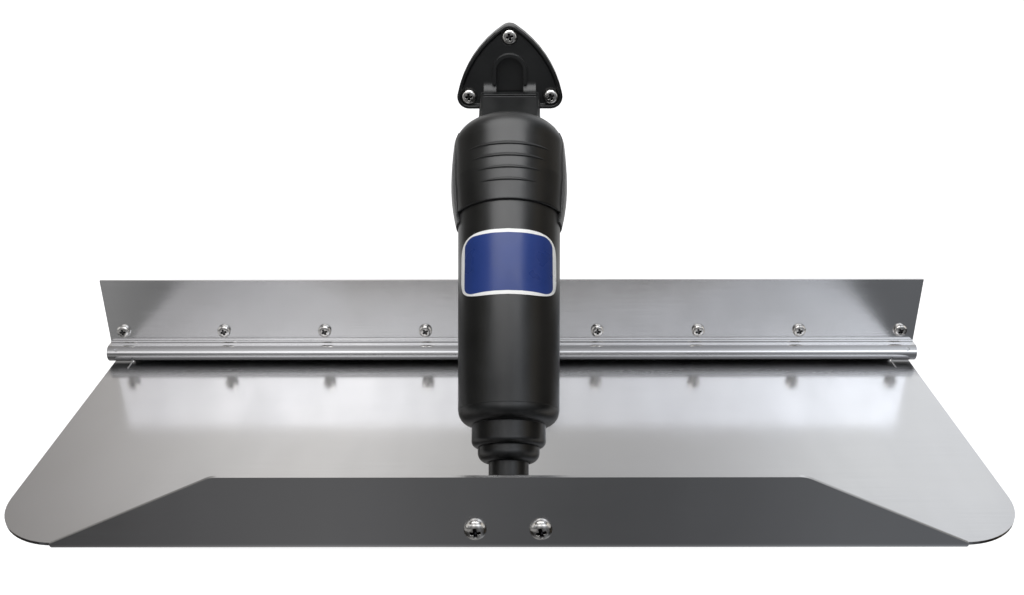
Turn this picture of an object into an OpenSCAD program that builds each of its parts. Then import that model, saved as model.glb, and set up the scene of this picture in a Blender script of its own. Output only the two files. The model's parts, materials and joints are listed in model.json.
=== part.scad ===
// Boat trim tab: a stainless plane hinged under a transom plate and worked by a hydraulic actuator.
// X runs along the span, +Y points forward into the transom and +Z points up.
// The origin lies on the transom plane, at the middle of the backing plate's screw row.

/* [Sheet metal] */
// Thickness of the stainless sheet
sheet = 2; // [1.6:0.1:2.4]
// Length of the backing plate along the transom
plate_span = 609.6; // [560:0.1:760]
// Height of the backing plate above its screw row
plate_rise = 41; // [30:0.5:60]
// Inner radius of the fold where the backing plate turns aft
plate_fold_r = 1.5; // [1:0.1:2]
// Distance between neighbouring screws in the row
screw_pitch = 76.2; // [60:0.1:78]
// Distance across the middle of the row, where the actuator stands
screw_gap = 130; // [90:1:134]
// Most screws on each side of the middle, where the plate's length holds them
screws_per_side = 4; // [2:1:4]
// Least distance from a screw to the plate's end
screw_end_min = 10; // [8:0.5:12]

/* [Plane hinge] */
// Diameter of the hinge rod
hinge_rod_d = 4; // [3:0.1:4.4]
// Radial running clearance between neighbouring hinge layers
hinge_play = 0.08; // [0.03:0.01:0.1]
// Distance of the hinge axis from the transom
hinge_out = 7.85; // [7.4:0.05:10]
// Depth of the hinge axis below the screw row
hinge_below = 15.45; // [14:0.05:24]
// Height of the hinge axis above the trim plane's upper face
hinge_over_plane = 7.4; // [7:0.1:9]
// Inner radius of the fold below the rolled lip
lip_fold_r = 1; // [0.6:0.1:1.6]
// Length of the rolled lip
lip_span = 576; // [500:1:590]
// Width of the punched stake marks that hold the hinge rod
stake_d = 3; // [2:0.1:4]
// Depth of the stake marks
stake_depth = 0.7; // [0.3:0.1:1.2]
// Distance of the stake marks from the barrel's ends
stake_inset = 7; // [5:0.5:12]

/* [Trim plane] */
// Width of the trim plane
plane_span = 604; // [596:1:640]
// Chord from the backing plate's face to the trailing face
chord = 228.6; // [215:0.1:305]
// Radius of the trailing corners
corner_r = 43; // [25:1:46]
// Angle below the horizontal with the actuator drawn in
droop = 1.5; // [0:0.1:4]
// Width of the relief slits beside the rolled lip
relief_w = 1.3; // [1:0.1:4]
// Length of the relief slits aft of the hinge axis
relief_len = 11.5; // [6:0.5:20]
// Reach of the leading corners outside the slits, forward of the hinge axis
ear_reach = 1.7; // [0:0.1:3]
// Height of the trailing flange above the plane
flange_h = 48; // [40:0.5:60]
// Length of the flange at its foot
flange_foot = 517; // [460:1:518]
// Length of the flange at its top
flange_crest = 323; // [240:1:380]
// Radius of the flange's upper corners
flange_corner_r = 16; // [8:1:30]
// Inner radius of the fold at the flange's foot
flange_fold_r = 3; // [2:0.1:4]

/* [Lower hinge] */
// Distance between the two flange screws
flange_screw_pitch = 36.6; // [34:0.1:44]
// Height of the flange screws above the plane
flange_screw_h = 13.4; // [12:0.1:16]
// Shank diameter of the flange screws
flange_screw_d = 6.3; // [5:0.1:6.4]
// Head diameter of the flange screws
flange_head_d = 13.2; // [11:0.1:14]
// Width of the flange nuts across their flats
flange_nut_af = 11.1; // [10:0.1:11.4]
// Height of the flange nuts
flange_nut_h = 6.5; // [4:0.1:8]
// Thickness of the bracket's foot
bracket_foot_t = 4; // [3:0.1:5]
// Width of the bracket's foot
bracket_w = 54; // [52:0.5:70]
// Height of the bracket's foot
bracket_h = 20; // [18:0.5:24]
// Thickness of each bracket ear
bracket_ear_t = 5; // [3:0.1:5.2]
// Radius of the bracket ears round the pin
bracket_ear_r = 9; // [7:0.1:10]
// Diameter of the lower hinge pin
lower_pin_d = 8; // [6:0.1:9]
// Distance of the lower pin from the flange's inner face
lower_pin_out = 18.7; // [18:0.1:24]
// Height of the lower pin above the plane
lower_pin_h = 13.6; // [13.4:0.1:18]

/* [Upper hinge] */
// Distance between the two lower screws of the base
base_screw_pitch = 55.3; // [52:0.1:60]
// Height of the top screw above the lower pair
base_screw_rise = 39.2; // [38:0.1:46]
// Height of the base's lower screws above the plate's screw row
base_up = 177.2; // [174:0.1:190]
// Radius of the corner round each base screw
base_corner_r = 7.9; // [7.7:0.1:10]
// Radius of the bowed sides of the base
base_side_r = 71; // [64:1:90]
// Thickness of the base
base_t = 8; // [6:0.1:10]
// Width of the base's raised rim
rim_w = 1.9; // [1.2:0.1:2]
// Height of the base's raised rim
rim_h = 2.2; // [1:0.1:3]
// Chamfer along the rim's outer edge
rim_edge = 0.8; // [0.4:0.1:1]
// Slope of the rim's inner side, as the width that it takes up
rim_slope = 1.2; // [0.6:0.1:1.6]
// Width of the arched hose opening and of the channel in the arm
hose_way_w = 18; // [16:0.1:20]
// Height of the arched opening above the arm
hose_arch_h = 23; // [20:0.5:26]
// Thickness of the wall behind the arched opening
arch_back_t = 2.5; // [1.5:0.1:3]
// Width of the arm
arm_w = 40; // [36:0.1:40.4]
// Size of the arm's softened edges
arm_edge = 2.4; // [1:0.1:3]
// Radius of the arm's end round the pin
arm_end_r = 11; // [9:0.1:11.5]
// Thickness of the web over the arm's channel
arm_web_t = 3; // [2:0.1:4]
// Radius of the fillets between arm and base
arm_fillet_r = 7; // [3:0.1:8]
// Diameter of the upper hinge pin
upper_pin_d = 8; // [6:0.1:9]
// Distance of the upper pin from the transom
upper_pin_out = 63.9; // [60:0.1:70]
// Height of the upper pin above the plate's screw row
upper_pin_up = 156.4; // [154:0.1:166]

/* [Screws] */
// Shank diameter of the plate and base screws
screw_d = 4.8; // [4:0.1:5]
// Head diameter of the plate and base screws
screw_head_d = 9.8; // [8.5:0.1:10.4]
// Length of the plate and base screws below their heads
screw_len = 32; // [25:1:50]
// Radial clearance of screws in their holes
screw_play = 0.3; // [0.2:0.05:0.5]

/* [Actuator] */
// Largest radius of the head
head_r = 35; // [34.4:0.1:37]
// Radius of the skirt's rim
head_rim_r = 33.4; // [33.2:0.1:34.2]
// Height of the crown above the upper pin
head_top = 19.5; // [17:0.1:21]
// Radius of the crown
crown_r = 50; // [46:0.5:60]
// Radius of the shoulder below the crown
shoulder_r = 17.5; // [15:0.5:20]
// Depth of the skirt's rim below the upper pin
head_drop = 48.5; // [46:0.5:52]
// Width of the raised pads on the head's sides
pad_w = 22; // [16:0.5:26]
// Height of the pads above the head
pad_proud = 1.3; // [0.8:0.1:2]
// Radius of the pads' bow above their widest station
pad_upper_bow_r = 244; // [200:1:300]
// Radius of the pads' bow below their widest station
pad_lower_bow_r = 118; // [112:1:160]
// Length of the pads below the skirt's rim
pad_past_rim = 6; // [2:0.5:7]
// Distance between the grip ribs
rib_pitch = 7.6; // [7:0.1:8]
// Height of the grip ribs
rib_proud = 0.9; // [0.6:0.1:1.4]
// Outer radius of the barrel at its top
barrel_top_r = 31.8; // [31.5:0.05:32]
// Outer radius of the barrel at its lower end
barrel_low_r = 29.8; // [29.4:0.05:30.5]
// Bore radius of the barrel
bore_r = 26; // [24:0.1:26.4]
// Depth of the barrel's shoulder below the upper pin
barrel_drop = 178.4; // [176:0.1:190]
// Radius of the barrel's rounded lower edge
barrel_round_r = 9; // [6:0.1:9.5]
// Radius of the neck below the barrel
neck_r = 21.8; // [20.5:0.1:23]
// Length of the neck
neck_len = 12.9; // [12:0.1:15]
// Radius of the gland cap
gland_r = 18.1; // [17.6:0.1:19]
// Length of the gland cap below the neck
gland_len = 8.8; // [8:0.1:10]
// Radius of the rod
rod_r = 11.7; // [10.5:0.1:12]
// Width of the flattened eye at the rod's lower end
eye_w = 12; // [10:0.1:12]
// Wire diameter of the return spring
spring_wire_d = 4; // [2.5:0.1:5]
// Mean radius of the return spring
spring_r = 19; // [17:0.1:21]
// Turns of the return spring
spring_turns = 7; // [4:1:8]
// Radial clearance of sliding and turning fits
fit_play = 0.05; // [0.02:0.01:0.1]

/* [Label] */
// Width of the blank label round the barrel, as an angle
label_angle = 132; // [60:1:150]
// Height of the blank label
label_h = 40; // [20:1:60]
// Depth of the label's middle below the upper pin
label_drop = 86.6; // [80:0.1:110]
// Corner radius of the label
label_corner_r = 8; // [2:0.5:9]
// Thickness of the label
label_t = 0.3; // [0.2:0.05:0.6]

/* [Hidden] */
$fn = 64;

stainless = "silver";
black_plastic = "#202224";
brass = "goldenrod";
rubber = "#101010";
acetal = "ivory";

// A cut runs this far past the faces it opens.
over = 1;

// Screws that the plate's length holds on each side of the middle
screws_held = 1 + floor((plate_span / 2 - screw_gap / 2 - screw_end_min) / screw_pitch);
screws_fitted = min(screws_per_side, screws_held);

// Layers of the rolled hinge, from the rod outwards
rod_hinge_r = hinge_rod_d / 2;
roll_ir = rod_hinge_r + hinge_play;
roll_or = roll_ir + sheet;
barrel_ir = roll_or + hinge_play;
barrel_or = barrel_ir + sheet;

// Places on the trim plane, measured from the hinge axis
plane_top = -hinge_over_plane;
trail_y = -(chord - (hinge_out - sheet));
flange_in_y = trail_y + sheet;
lower_pin_y = flange_in_y + lower_pin_out;
lower_pin_z = plane_top + lower_pin_h;

// Pivots of the actuator in the frame of the whole part, as [y, z]
upper_pin = [-upper_pin_out, upper_pin_up];
lower_pin = [
    -hinge_out + lower_pin_y * cos(droop) - lower_pin_z * sin(droop),
    -hinge_below + lower_pin_y * sin(droop) + lower_pin_z * cos(droop)
];
pin_to_pin = norm(upper_pin - lower_pin);
actuator_rise = atan2(upper_pin[1] - lower_pin[1], upper_pin[0] - lower_pin[0]);

// The lower pivot is the open one of the linkage: its eye is a short slot.
eye_slack = 0.6;
eye_travel = 0.95;
eye_inset = 0.2;
eye_r = rod_r - eye_inset;
eye_flat_len = 17;
ear_gap = 0.3;
ear_in = eye_w / 2 + ear_gap;
ear_out = ear_in + bracket_ear_t;

// Stations along the actuator, measured up from the upper pin
waist_z = -26;
slot_floor = -14;
slot_front = -13;
slot_play = 0.6;
barrel_top = -40;
barrel_floor_t = 6.4;
spigot_len = 12;
spigot_end = barrel_top - spigot_len;
piston_rest_gap = 3;
piston_top = spigot_end - piston_rest_gap;
piston_h = 20;
piston_low = piston_top - piston_h;
barrel_low = -barrel_drop;
barrel_floor = barrel_low + barrel_floor_t;
neck_end = barrel_low - neck_len;
gland_end = neck_end - gland_len;
seat_t = 2;
bush_bore_r = 16;
bush_low = barrel_low;
seal_h = 5;
seal_low = bush_low - seal_h;
rod_flat_top = -pin_to_pin + eye_flat_len;

// Points of an arc about a centre, from one angle to another
function arc(c, r, from, to, steps) =
    [for (i = [0:steps]) c + r * [cos(from + (to - from) * i / steps), sin(from + (to - from) * i / steps)]];

// One corner of an outline, rounded to radius r between its neighbours
function rounded_corner(a, b, c, r, steps) =
    let (
        to_a = (a - b) / norm(a - b),
        to_c = (c - b) / norm(c - b),
        half = acos(to_a * to_c) / 2,
        mid = (to_a + to_c) / norm(to_a + to_c),
        centre = b + mid * r / sin(half),
        start = b + to_a * r / tan(half) - centre,
        stop = b + to_c * r / tan(half) - centre,
        from = atan2(start[1], start[0]),
        turn = atan2(stop[1], stop[0]) - from,
        sweep = turn > 180 ? turn - 360 : turn < -180 ? turn + 360 : turn
    )
    arc(centre, r, from, from + sweep, steps);

// Outline whose corners are rounded, each to its own radius (0 keeps the corner)
function rounded(points, radii, steps = 10) =
    let (n = len(points))
    [for (i = [0:n - 1])
        each radii[i] > 0
            ? rounded_corner(points[(i + n - 1) % n], points[i], points[(i + 1) % n], radii[i], steps)
            : [points[i]]];

// Angle on a circle where a line from an outside point touches it, on the given side (1 or -1)
function tangent_angle(from, centre, r, side) =
    let (v = from - centre)
    atan2(v[1], v[0]) + side * acos(r / norm(v));

// Point where that line touches the circle
function tangent_point(from, centre, r, side) =
    let (a = tangent_angle(from, centre, r, side))
    centre + r * [cos(a), sin(a)];

// Radius of the head's round wall at a station
function head_wall_r(z) =
    z > waist_z ? head_r : head_rim_r + (head_r - head_rim_r) * (z + head_drop) / (waist_z + head_drop);

// Radius of the barrel's drafted wall at a station
function barrel_wall_r(z) =
    barrel_top_r + (barrel_low_r - barrel_top_r) * (z - barrel_top) / (barrel_low - barrel_top);

// Extrudes an outline drawn in Y and Z along X, about the middle
module along_x(length) {
    rotate([90, 0, 90])
        linear_extrude(length, center = true)
            children();
}

// Extrudes an outline drawn in X and Z from y = 0 towards the stern
module towards_stern(depth) {
    rotate([90, 0, 0])
        linear_extrude(depth)
            children();
}

// Repeats a piece on both sides of the middle
module both_sides() {
    for (side = [0, 1])
        mirror([side, 0, 0])
            children();
}

// Frame of the trim plane: origin on the hinge axis, turned to its rest angle
module on_plane() {
    translate([0, -hinge_out, -hinge_below])
        rotate([droop, 0, 0])
            children();
}

// Frame of the actuator: origin on the upper pin, Z up along the rod
module on_actuator() {
    translate([0, upper_pin[0], upper_pin[1]])
        rotate([actuator_rise - 90, 0, 0])
            children();
}

// Quarter of a folded sheet between two straight runs, in the quadrant towards [sx, sy]
module fold(centre, inner_r, sx, sy) {
    outer_r = inner_r + sheet;
    translate(centre)
        intersection() {
            difference() {
                circle(outer_r);
                circle(inner_r);
            }
            translate([sx > 0 ? 0 : -outer_r, sy > 0 ? 0 : -outer_r])
                square(outer_r);
        }
}

// Flat ring between two radii
module ring(outer_r, inner_r, h) {
    difference() {
        cylinder(r = outer_r, h = h);
        translate([0, 0, -over])
            cylinder(r = inner_r, h = h + 2 * over);
    }
}

// Half section of a pan head with a domed top, its seat at z = 0
module pan_head_section(d, h) {
    dome_r = (d * d / 4 + h * h / 4) / h;
    intersection() {
        square([d / 2, h]);
        translate([0, h - dome_r])
            circle(dome_r);
    }
}

// Cross recess cut into a pan head, in proportion to the head
module cross_recess(d, h) {
    blade_w = d * 0.14;
    blade_len = d * 0.52;
    floor_z = h * 0.35;
    for (turn = [0, 90])
        rotate([0, 0, turn])
            translate([-blade_len / 2, -blade_w / 2, floor_z])
                cube([blade_len, blade_w, h]);
}

// Pan-head screw with its shank down the Z axis: a plain neck through what it clamps, the thread at its
// full diameter and a blunt tip over the length of the point
neck_inset = 0.3;
neck_past_grip = 0.5;
module pan_screw(shank_d, length, head_d, grip, point) {
    head_h = head_d * 0.34;
    root_z = head_h * 0.2;
    neck_r = shank_d / 2 - neck_inset;
    thread_z = -grip - neck_past_grip;
    tip = point > 0 ? [[shank_d * 0.1, -length]] : [];
    difference() {
        rotate_extrude() {
            pan_head_section(head_d, head_h);
            polygon(concat(
                [[0, -length]],
                tip,
                [[shank_d / 2, point - length], [shank_d / 2, thread_z]],
                [[neck_r, thread_z], [neck_r, root_z], [0, root_z]]
            ));
        }
        cross_recess(head_d, head_h);
    }
}

// Turns a piece drawn up the Z axis to point aft
module facing_aft() {
    rotate([90, 0, 0])
        children();
}

// Places of the backing plate's screws along the row
module at_plate_screws() {
    for (i = [0:screws_fitted - 1])
        for (side = [-1, 1])
            translate([side * (screw_gap / 2 + i * screw_pitch), 0, 0])
                children();
}

// Places of the base's three screws, in X and Z
module at_base_screws() {
    for (p = [[-base_screw_pitch / 2, 0], [base_screw_pitch / 2, 0], [0, base_screw_rise]])
        translate([p[0], 0, base_up + p[1]])
            children();
}

// Places of the two flange screws, in the frame of the trim plane
module at_flange_screws() {
    for (side = [-1, 1])
        translate([side * flange_screw_pitch / 2, 0, plane_top + flange_screw_h])
            children();
}

// Transom plate with its lower edge folded aft and rolled into the outer half of the hinge
module backing_plate() {
    ledge = hinge_out - sheet - plate_fold_r;
    fold_up = barrel_or + plate_fold_r;
    plate_h = hinge_below + plate_rise - fold_up;
    color(stainless)
        difference() {
            translate([0, -hinge_out, -hinge_below])
                along_x(plate_span) {
                    intersection() {
                        difference() {
                            circle(barrel_or);
                            circle(barrel_ir);
                        }
                        translate([-barrel_or, -barrel_or])
                            square([barrel_or, 2 * barrel_or]);
                    }
                    translate([0, barrel_ir])
                        square([ledge, sheet]);
                    fold([ledge, fold_up], plate_fold_r, 1, -1);
                    translate([hinge_out - sheet, fold_up])
                        square([sheet, plate_h]);
                }
            at_plate_screws()
                facing_aft()
                    cylinder(d = screw_d + 2 * screw_play, h = 4 * sheet, center = true);
            both_sides()
                translate([plate_span / 2 - stake_inset, -hinge_out, -hinge_below])
                    rotate([45, 0, 0])
                        translate([0, 0, barrel_or - stake_depth])
                            cylinder(d = stake_d, h = sheet);
        }
}

// Rod through both rolled edges
module hinge_rod() {
    color(stainless)
        translate([0, -hinge_out, -hinge_below])
            rotate([0, 90, 0])
                cylinder(r = rod_hinge_r, h = plate_span, center = true);
}

module plate_screws() {
    color(stainless)
        at_plate_screws()
            translate([0, -sheet, 0])
                facing_aft()
                    pan_screw(screw_d, screw_len, screw_head_d, sheet, screw_d);
}

// Section of the rolled lip: roll round the rod, riser and fold under the barrel
module lip_section() {
    fold_at = [roll_ir - lip_fold_r, plane_top + lip_fold_r];
    difference() {
        circle(roll_or);
        circle(roll_ir);
        translate([0, -roll_or])
            square(roll_or);
    }
    translate([roll_ir, fold_at[1]])
        square([sheet, -fold_at[1]]);
    fold(fold_at, lip_fold_r, 1, -1);
    translate([-relief_len, plane_top - sheet])
        square([relief_len + fold_at[0], sheet]);
}

// Outline of the flat part of the trim plane, seen from above: it ends where the flange's fold begins
module plane_outline() {
    half = plane_span / 2;
    fold_y = flange_in_y + flange_fold_r;
    slit_in = lip_span / 2;
    right = concat(
        [[slit_in, -relief_len], [slit_in + relief_w, -relief_len], [slit_in + relief_w, ear_reach]],
        [[half, ear_reach]],
        arc([half - corner_r, fold_y + corner_r], corner_r, 0, -90, 16)
    );
    left = [for (i = [len(right) - 1:-1:0]) [-right[i][0], right[i][1]]];
    polygon(concat(right, left));
}

// Outline of the trailing flange above its fold, seen from the stern
module flange_outline() {
    low = plane_top + flange_fold_r;
    high = plane_top + flange_h;
    foot = flange_foot / 2;
    crest = flange_crest / 2;
    polygon(rounded(
        [[-foot, low], [foot, low], [crest, high], [-crest, high]],
        [0, 0, flange_corner_r, flange_corner_r]
    ));
}

// Plane of the trim tab: flat sheet, rolled lip in front and folded flange behind
module trim_plane() {
    fold_at = [flange_in_y + flange_fold_r, plane_top + flange_fold_r];
    color(stainless)
        on_plane()
            difference() {
                union() {
                    translate([0, 0, plane_top - sheet])
                        linear_extrude(sheet)
                            plane_outline();
                    along_x(lip_span)
                        lip_section();
                    along_x(flange_foot)
                        fold(fold_at, flange_fold_r, -1, -1);
                    translate([0, flange_in_y, 0])
                        towards_stern(sheet)
                            flange_outline();
                }
                at_flange_screws()
                    translate([0, trail_y, 0])
                        facing_aft()
                            cylinder(d = flange_screw_d + 2 * screw_play, h = 4 * sheet, center = true);
            }
}

// Outline of the three-cornered base, drawn in by an inset
module base_outline(inset) {
    r = base_corner_r - inset;
    side_r = base_side_r - inset;
    top = [0, base_up + base_screw_rise];
    low = [base_screw_pitch / 2, base_up];
    // Centre of the bowed side that both corner arcs touch from inside
    reach = base_side_r - base_corner_r;
    mid = (top + low) / 2;
    along = (low - top) / norm(low - top);
    centre = mid - [-along[1], along[0]] * sqrt(reach * reach - pow(norm(low - top) / 2, 2));
    a_top = atan2(top[1] - centre[1], top[0] - centre[0]);
    a_low = atan2(low[1] - centre[1], low[0] - centre[0]);
    right = concat(
        arc(low, r, -90, a_low, 8),
        arc(centre, side_r, a_low, a_top, 8),
        arc(top, r, a_top, 90, 6)
    );
    left = [for (i = [len(right) - 1:-1:0]) [-right[i][0], right[i][1]]];
    polygon(concat(right, left));
}

// Part of the base between two depths, drawn in by its own inset at each
module base_slab(near, near_inset, far, far_inset) {
    skin = 0.02;
    hull() {
        translate([0, -near, 0])
            towards_stern(skin)
                base_outline(near_inset);
        translate([0, skin - far, 0])
            towards_stern(skin)
                base_outline(far_inset);
    }
}

// Side view of the arm from the transom to its round end, in Y and Z
arm_rise = 2.9;
arm_root_drop = 19.1;
arm_top = [-base_t, base_up + arm_rise];
arm_root_low = [0, base_up - arm_root_drop];
module arm_section() {
    polygon([
        [0, arm_top[1]],
        arm_top,
        tangent_point(arm_top, upper_pin, arm_end_r, 1),
        upper_pin,
        tangent_point(arm_root_low, upper_pin, arm_end_r, -1),
        arm_root_low
    ]);
    translate(upper_pin)
        circle(arm_end_r);
}

// Arm with softened edges: full height in the middle, drawn in towards its sides
module arm_body() {
    hull()
        for (step = [[1, 0], [0.3, 0.3], [0, 1]])
            along_x(arm_w - 2 * arm_edge * step[0])
                offset(delta = -arm_edge * step[1])
                    arm_section();
}

// Concave fillet between the arm's upper face and the base
module arm_fillet() {
    sink = arm_fillet_r * 0.3;
    translate([arm_top[0] - arm_fillet_r, arm_top[1] - sink])
        difference() {
            square([arm_fillet_r, arm_fillet_r + sink]);
            translate([0, arm_fillet_r + sink])
                circle(arm_fillet_r);
        }
}

// Hose arch in X and Z, widened by a margin
module hose_arch(margin) {
    r = hose_way_w / 2 + margin;
    spring_z = arm_top[1] + hose_arch_h - hose_way_w / 2;
    translate([-r, arm_top[1]])
        square([2 * r, spring_z - arm_top[1]]);
    translate([0, spring_z])
        circle(r);
}

// Channel for the hose under the arm's web, open below, in Y and Z
module arm_channel() {
    web_drop = [0, -arm_web_t];
    polygon([
        [over, arm_top[1] - arm_web_t],
        arm_top + web_drop,
        tangent_point(arm_top, upper_pin, arm_end_r, 1) + web_drop,
        upper_pin + [-2 * arm_end_r, arm_end_r - arm_web_t],
        upper_pin + [-2 * arm_end_r, -2 * arm_end_r],
        [over, upper_pin[1] - 2 * arm_end_r]
    ]);
}

// Moulded base on the transom with its arm, hose arch and raised rim
head_recess_depth = 0.8;
head_recess_play = 0.8;
base_grip = base_t - head_recess_depth;
module upper_hinge_base() {
    hood_w = 2.5;
    recess_r = screw_head_d / 2 + head_recess_play;
    rim_top = base_t + rim_h;
    color(black_plastic)
        difference() {
            union() {
                difference() {
                    union() {
                        towards_stern(rim_top - rim_edge)
                            base_outline(0);
                        base_slab(rim_top - rim_edge, 0, rim_top, rim_edge);
                    }
                    base_slab(base_t, rim_w + rim_slope, base_t + 2 * rim_h, rim_w - rim_slope);
                }
                towards_stern(rim_top)
                    difference() {
                        hose_arch(hood_w);
                        translate([-arm_w, 0])
                            square([2 * arm_w, arm_top[1] + hose_arch_h - hose_way_w]);
                    }
                arm_body();
                along_x(arm_w - 2 * arm_edge)
                    arm_fillet();
            }
            translate([0, -arch_back_t, 0])
                towards_stern(base_t + arm_fillet_r)
                    hose_arch(0);
            translate([-hose_way_w / 2, -base_t + over, arm_top[1] - arm_web_t - over])
                cube([hose_way_w, base_t - over - arch_back_t, arm_web_t + 2 * over]);
            along_x(hose_way_w)
                arm_channel();
            at_base_screws() {
                facing_aft()
                    cylinder(d = screw_d + 2 * screw_play, h = 4 * base_t, center = true);
                translate([0, -base_grip, 0])
                    facing_aft()
                        cylinder(r = recess_r, h = base_t);
            }
            translate([0, upper_pin[0], upper_pin[1]])
                rotate([0, 90, 0])
                    cylinder(d = upper_pin_d + 2 * fit_play, h = 2 * arm_w, center = true);
        }
}

module upper_hinge_screws() {
    color(stainless)
        at_base_screws()
            translate([0, -base_grip, 0])
                facing_aft()
                    pan_screw(screw_d, screw_len, screw_head_d, base_grip, screw_d);
}

// Cross pin of the upper hinge, its ends just below the head's wall
upper_pin_inset = 1;
upper_pin_len = 2 * (head_r - upper_pin_inset);
module upper_hinge_pin() {
    color(stainless)
        on_actuator()
            rotate([0, 90, 0])
                cylinder(d = upper_pin_d, h = upper_pin_len, center = true);
}

// Half section of the head: drafted skirt, shoulder arc and crown arc
module head_section() {
    crown_z = head_top - crown_r;
    shoulder_x = head_r - shoulder_r;
    shoulder_z = crown_z + sqrt(pow(crown_r - shoulder_r, 2) - pow(shoulder_x, 2));
    rim_round = 0.9;
    intersection() {
        union() {
            polygon(concat(
                [[0, -head_drop]],
                arc([head_rim_r - rim_round, rim_round - head_drop], rim_round, -90, 0, 4),
                [[head_r, waist_z], [head_r, shoulder_z], [0, shoulder_z]]
            ));
            translate([shoulder_x, shoulder_z])
                circle(shoulder_r);
            intersection() {
                translate([0, crown_z])
                    circle(crown_r);
                polygon([
                    [0, crown_z],
                    [2 * shoulder_x, 2 * shoulder_z - crown_z],
                    [4 * shoulder_x, crown_z + 4 * (shoulder_z - crown_z)],
                    [0, crown_z + 4 * crown_r]
                ]);
            }
        }
        translate([0, -head_drop])
            square([2 * head_r, 2 * head_drop]);
    }
}

// One grip rib: a sawtooth ring set a little forward, so that its ends run out into the head's wall
module grip_rib(z, half_angle) {
    rib_h = rib_pitch * 0.36;
    edge_h = rib_h * 0.2;
    edge_in = rib_proud * 0.3;
    sink = 0.2;
    root = 2;
    tuck_angle = 12;
    wall_r = head_wall_r(z);
    run_out = wall_r * (1 - cos(half_angle));
    forward = rib_proud * (wall_r + rib_proud / 2) / (run_out + rib_proud);
    ring_r = wall_r + rib_proud - forward;
    sweep = half_angle + tuck_angle;
    translate([0, -forward, 0])
        rotate([0, 0, -90 - sweep])
            rotate_extrude(angle = 2 * sweep)
                polygon([
                    [ring_r - root, z],
                    [ring_r - edge_in, z],
                    [ring_r, z + edge_h],
                    [ring_r - rib_proud - sink, z + rib_h],
                    [ring_r - root, z + rib_h]
                ]);
}

// Side pad: a bowed band that rises from the shoulder, is widest at the waist and ends below the rim
module side_pad() {
    half_angle = asin(pad_w / 2 / head_r);
    face_r = head_r + pad_proud;
    root_r = head_rim_r - 3;
    rise_angle = 6;
    fade_angle = 20;
    low_z = -head_drop - pad_past_rim;
    low_angle = asin((waist_z - low_z) / pad_lower_bow_r);
    lower_c = [face_r - pad_lower_bow_r, waist_z];
    upper_c = [face_r - pad_upper_bow_r, waist_z];
    shoulder_c = upper_c + (pad_upper_bow_r - shoulder_r) * [cos(rise_angle), sin(rise_angle)];
    face = concat(
        arc(lower_c, pad_lower_bow_r, -low_angle, 0, 6),
        arc(upper_c, pad_upper_bow_r, rise_angle / 4, rise_angle, 3),
        arc(shoulder_c, shoulder_r, rise_angle + fade_angle / 4, rise_angle + fade_angle, 3)
    );
    high_z = face[len(face) - 1][1];
    rotate([0, 0, -half_angle])
        rotate_extrude(angle = 2 * half_angle)
            polygon(concat([[root_r, low_z]], face, [[root_r, high_z]]));
}

// Space in the head where the arm enters and swings
module arm_slot() {
    w = arm_w + 2 * slot_play;
    reach = 2 * head_r;
    translate([-w / 2, slot_front, slot_floor])
        cube([w, reach, reach]);
}

// Domed head with grip ribs, side pads, arm slot and a spigot into the barrel
module actuator_head() {
    rib_top = -14;
    rib_count = 4;
    rib_angle = 47;
    rib_angle_step = 5.5;
    port_r = 3;
    color(black_plastic)
        on_actuator()
            difference() {
                union() {
                    rotate_extrude()
                        head_section();
                    for (i = [0:rib_count - 1])
                        grip_rib(rib_top - i * rib_pitch, rib_angle - i * rib_angle_step);
                    for (turn = [0, 180])
                        rotate([0, 0, turn])
                            side_pad();
                }
                difference() {
                    translate([0, 0, -2 * head_drop])
                        cylinder(
                            r1 = barrel_wall_r(-2 * head_drop) + 2 * fit_play,
                            r2 = barrel_top_r + 2 * fit_play,
                            h = 2 * head_drop + barrel_top
                        );
                    translate([0, 0, spigot_end])
                        cylinder(r = bore_r - 2 * fit_play, h = barrel_top - spigot_end + over);
                }
                translate([0, 0, seal_groove_low])
                    ring(bore_r + over, bore_r - seal_groove_depth, seal_groove_h);
                arm_slot();
                translate([0, fitting_y, slot_floor - fitting_thread_len])
                    cylinder(r = fitting_thread_r + fit_play, h = 2 * fitting_thread_len);
                translate([0, fitting_y, 2 * spigot_end])
                    cylinder(r = port_r, h = -2 * spigot_end);
                rotate([0, 90, 0])
                    cylinder(d = upper_pin_d + 2 * fit_play, h = 4 * head_r, center = true);
            }
}

// Hydraulic inlet that screws into the floor of the arm slot
fitting_y = 14;
fitting_thread_r = 4.8;
fitting_thread_len = 9;
fitting_hex_af = 13;
fitting_hex_h = 5;
fitting_tube_r = 3;
fitting_stem_r = 5;
fitting_stem_h = 5;
module hose_fitting() {
    color(brass)
        on_actuator()
            translate([0, fitting_y, slot_floor])
                difference() {
                    union() {
                        translate([0, 0, -fitting_thread_len])
                            cylinder(r = fitting_thread_r, h = fitting_thread_len);
                        cylinder(d = fitting_hex_af / cos(30), h = fitting_hex_h, $fn = 6);
                        translate([0, 0, fitting_hex_h])
                            cylinder(r = fitting_stem_r, h = fitting_stem_h);
                    }
                    translate([0, 0, -2 * fitting_thread_len])
                        cylinder(r = fitting_tube_r, h = 4 * fitting_thread_len);
                }
}

// Compression nut that clamps the hose on the inlet
hose_nut_af = 12;
hose_nut_roof = 3;
hose_play = 0.2;
module hose_nut() {
    nut_h = fitting_stem_h + hose_nut_roof;
    color(brass)
        on_actuator()
            translate([0, fitting_y, slot_floor + fitting_hex_h])
                difference() {
                    cylinder(d = hose_nut_af / cos(30), h = nut_h, $fn = 6);
                    translate([0, 0, -over])
                        cylinder(r = fitting_stem_r + fit_play, h = fitting_stem_h + over);
                    cylinder(r = fitting_tube_r + hose_play, h = 2 * nut_h);
                }
}

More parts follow.
